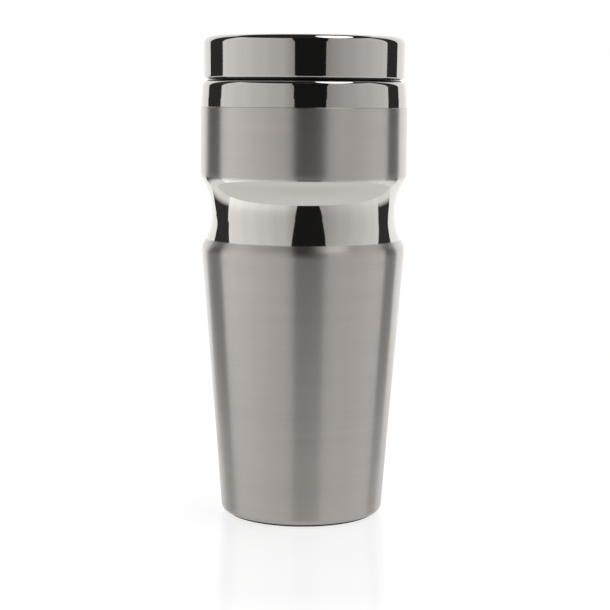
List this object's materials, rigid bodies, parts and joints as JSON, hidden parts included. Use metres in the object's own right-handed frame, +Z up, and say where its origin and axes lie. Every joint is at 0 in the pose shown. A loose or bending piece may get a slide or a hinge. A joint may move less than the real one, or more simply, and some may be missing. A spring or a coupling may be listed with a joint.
{
  "type": "insulated travel mug",
  "caption": "Tall double-walled steel travel mug with a pinched waist, polished collar and a screw-on drinking lid with a push-click valve.",
  "frame": {"origin": "centre of the rubber pad's underside, on the surface that the mug stands on", "axes": "+Z up along the mug's axis, from the foot to the lid; X and Y are any two square directions"},
  "size_m": [0.0797, 0.0796, 0.1859],
  "materials": {
    "brushed_steel": "brushed round the axis",
    "polished_steel": "mirror-polished stainless steel",
    "liner_steel": "satin",
    "solder": "dull",
    "getter_metal": "dull",
    "black_rubber": "matt",
    "black_plastic": "fine satin",
    "white_plastic": "satin",
    "silicone": "soft satin",
    "spring_steel": "drawn"
  },
  "bodies": {
    "mug": {"outer_shell": "brushed_steel", "inner_liner": "liner_steel", "liner_floor": "liner_steel", "mouth_collar": "polished_steel", "base_plate": "liner_steel", "vacuum_seal": "solder", "getter": "getter_metal", "base_pad": "black_rubber"},
    "lid_seal": {"lid_gasket": "silicone"},
    "lid": {"lid_shell": "polished_steel", "lid_body": "black_plastic", "hub_tube": "black_plastic", "screw_skirt": "black_plastic", "button_bezel": "polished_steel", "button_seal": "silicone", "click_guide": "white_plastic", "stem_seal": "silicone", "return_spring": "spring_steel"},
    "button": {"push_button": "black_plastic", "button_disc": "brushed_steel"},
    "valve": {"rotor": "white_plastic", "valve_stem": "spring_steel", "stem_clip": "spring_steel", "valve_plate": "black_plastic", "valve_gasket": "silicone", "valve_nut": "black_plastic"}
  },
  "joints": [
    {"name": "lid_lift", "type": "slide", "parent": "mug", "child": "lid_seal", "axis": [0, 0, 1], "range_m": [0, 0.0365]},
    {"name": "lid_turn", "type": "hinge", "parent": "lid_seal", "child": "lid", "pos_m": [0, 0, 0.15], "axis": [0, 0, 1], "range_deg": [0, 1080]},
    {"name": "button_press", "type": "slide", "parent": "lid", "child": "button", "axis": [0, 0, 1], "range_m": [-0.004, 0], "stiffness_N_per_m": 800, "springref_m": 0.004, "deforming": ["return_spring"]},
    {"name": "valve_slide", "type": "slide", "parent": "lid", "child": "valve", "axis": [0, 0, 1], "range_m": [-0.004, 0]}
  ],
  "couplings": [
    {"joint": "lid_lift", "follows": "lid_turn", "m_per_rad": 0.0019099},
    {"joint": "valve_slide", "follows": "button_press", "ratio": 1}
  ]
}
